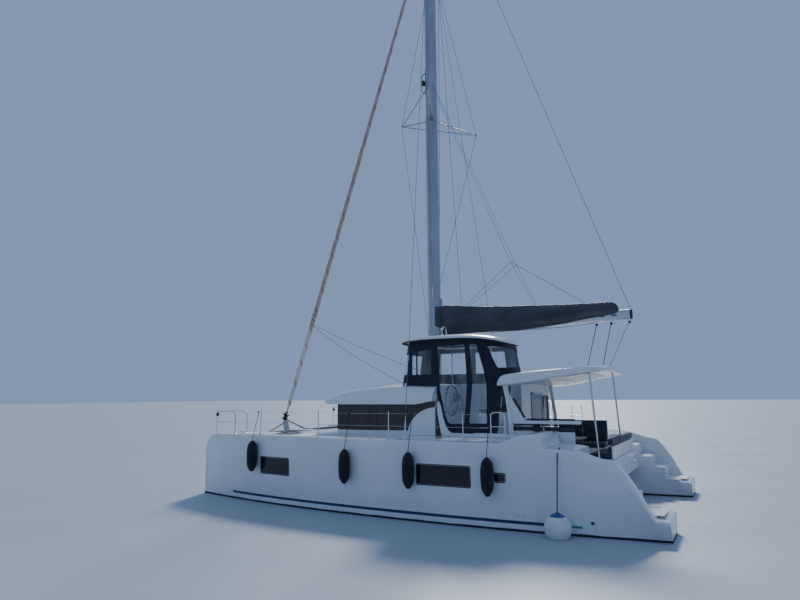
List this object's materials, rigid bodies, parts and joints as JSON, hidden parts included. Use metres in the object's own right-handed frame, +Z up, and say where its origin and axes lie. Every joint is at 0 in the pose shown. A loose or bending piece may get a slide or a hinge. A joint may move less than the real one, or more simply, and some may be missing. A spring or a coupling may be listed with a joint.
{
  "type": "sailing catamaran",
  "caption": "Cruising sailing catamaran afloat, with decked hulls, glazed saloon, enclosed raised helm, cockpit roof, stowed mainsail and furled headsail.",
  "frame": {"origin": "on the waterline, on the centreline, half way between bow and stern", "axes": "+X towards the bow, +Y to port, +Z up"},
  "size_m": [12.72, 8.0888, 21.67],
  "materials": {
    "gelcoat": "glossy white gelcoat over laminate",
    "bottom_paint": "matt dark antifouling paint",
    "drive_metal": "dark painted cast leg",
    "bronze": "worn bronze",
    "tinted_glazing": "dark tinted acrylic",
    "clear_vinyl": "clear soft window",
    "canvas": "dark blue acrylic canvas",
    "seat_cloth": "dark upholstery cloth",
    "wood": "varnished",
    "deck_plastic": "light non-skid moulding",
    "alloy": "anodised",
    "stainless": "polished stainless tube",
    "net": "dark woven net",
    "galvanised": "galvanised",
    "sailcloth": "sun-faded sail cover cloth",
    "fender_cover": "dark knitted cover",
    "white_vinyl": "soft white vinyl"
  },
  "bodies": {
    "boat": {"port_hull": "gelcoat", "starboard_hull": "gelcoat", "port_keel": "bottom_paint", "starboard_keel": "bottom_paint", "port_saildrive": "drive_metal", "starboard_saildrive": "drive_metal", "bridgedeck": "gelcoat", "saloon_walls": "gelcoat", "saloon_glazing": "tinted_glazing", "saloon_roof": "gelcoat", "saloon_seat": "seat_cloth", "saloon_table": "wood", "galley_unit": "deck_plastic", "helm_moulding": "gelcoat", "helm_seat": "seat_cloth", "helm_hardtop": "gelcoat", "helm_frame": "stainless", "helm_enclosure": "canvas", "helm_windows": "clear_vinyl", "cockpit_roof": "gelcoat", "port_roof_post": "stainless", "starboard_roof_post": "stainless", "cockpit_aft_seat": "seat_cloth", "cockpit_port_seat": "seat_cloth", "cockpit_starboard_seat": "seat_cloth", "cockpit_table": "wood", "forward_crossbeam": "alloy", "walkway": "gelcoat", "port_net": "net", "starboard_net": "net", "anchor": "galvanised", "port_guardrail": "stainless", "starboard_guardrail": "stainless", "mast": "alloy", "mast_bracing": "alloy", "port_shroud": "stainless", "starboard_shroud": "stainless", "furled_headsail": "sailcloth", "headsail_furler": "stainless", "gooseneck": "alloy", "fender_1": "fender_cover", "fender_2": "fender_cover", "fender_3": "fender_cover", "fender_4": "fender_cover", "ball_fender": "white_vinyl"},
    "port_propeller": {"port_propeller": "bronze"},
    "starboard_propeller": {"starboard_propeller": "bronze"},
    "port_rudder": {"port_rudder": "bottom_paint"},
    "starboard_rudder": {"starboard_rudder": "bottom_paint"},
    "helm_wheel": {"helm_wheel": "stainless"},
    "boom": {"boom": "alloy", "sail_bag": "canvas"},
    "saloon_door": {"saloon_door": "tinted_glazing"},
    "port_bow_hatch": {"port_bow_hatch": "tinted_glazing"},
    "starboard_bow_hatch": {"starboard_bow_hatch": "tinted_glazing"},
    "port_engine_hatch": {"port_engine_hatch": "deck_plastic"},
    "starboard_engine_hatch": {"starboard_engine_hatch": "deck_plastic"},
    "anchor_locker_lid": {"anchor_locker_lid": "deck_plastic"}
  },
  "joints": [
    {"name": "port_propeller_turn", "type": "hinge", "parent": "boat", "child": "port_propeller", "pos_m": [-4.52, 2.93, -0.76], "axis": [1, 0, 0], "continuous": true},
    {"name": "starboard_propeller_turn", "type": "hinge", "parent": "boat", "child": "starboard_propeller", "pos_m": [-4.52, -2.93, -0.76], "axis": [1, 0, 0], "continuous": true},
    {"name": "port_rudder_turn", "type": "hinge", "parent": "boat", "child": "port_rudder", "pos_m": [-5.64, 2.93, -0.4], "axis": [0, 0, 1], "range_deg": [-35, 35]},
    {"name": "starboard_rudder_turn", "type": "hinge", "parent": "boat", "child": "starboard_rudder", "pos_m": [-5.64, -2.93, -0.4], "axis": [0, 0, 1], "range_deg": [-35, 35]},
    {"name": "helm_wheel_turn", "type": "hinge", "parent": "boat", "child": "helm_wheel", "pos_m": [-1, 1.5, 2.66], "axis": [1, 0, 0], "range_deg": [-420, 420]},
    {"name": "boom_swing", "type": "hinge", "parent": "boat", "child": "boom", "pos_m": [-0.075, 0, 4.66], "axis": [0, 0, 1], "range_deg": [-65, 65]},
    {"name": "saloon_door_slide", "type": "slide", "parent": "boat", "child": "saloon_door", "axis": [0, 1, 0], "range_m": [0, 0.85]},
    {"name": "port_bow_hatch_lift", "type": "hinge", "parent": "boat", "child": "port_bow_hatch", "pos_m": [3.56, 2.93, 1.8], "axis": [0, 1, 0], "range_deg": [0, 95]},
    {"name": "starboard_bow_hatch_lift", "type": "hinge", "parent": "boat", "child": "starboard_bow_hatch", "pos_m": [3.56, -2.93, 1.8], "axis": [0, 1, 0], "range_deg": [0, 95]},
    {"name": "port_engine_hatch_lift", "type": "hinge", "parent": "boat", "child": "port_engine_hatch", "pos_m": [-4.65, 2.86, 1.345], "axis": [0, 1, 0], "range_deg": [0, 80]},
    {"name": "starboard_engine_hatch_lift", "type": "hinge", "parent": "boat", "child": "starboard_engine_hatch", "pos_m": [-4.65, -2.86, 1.345], "axis": [0, 1, 0], "range_deg": [0, 80]},
    {"name": "anchor_locker_lid_lift", "type": "hinge", "parent": "boat", "child": "anchor_locker_lid", "pos_m": [2.95, 0, 1.795], "axis": [0, -1, 0], "range_deg": [0, 90]}
  ],
  "couplings": [
    {"joint": "starboard_rudder_turn", "follows": "port_rudder_turn", "ratio": 1},
    {"joint": "helm_wheel_turn", "follows": "port_rudder_turn", "ratio": 12}
  ]
}
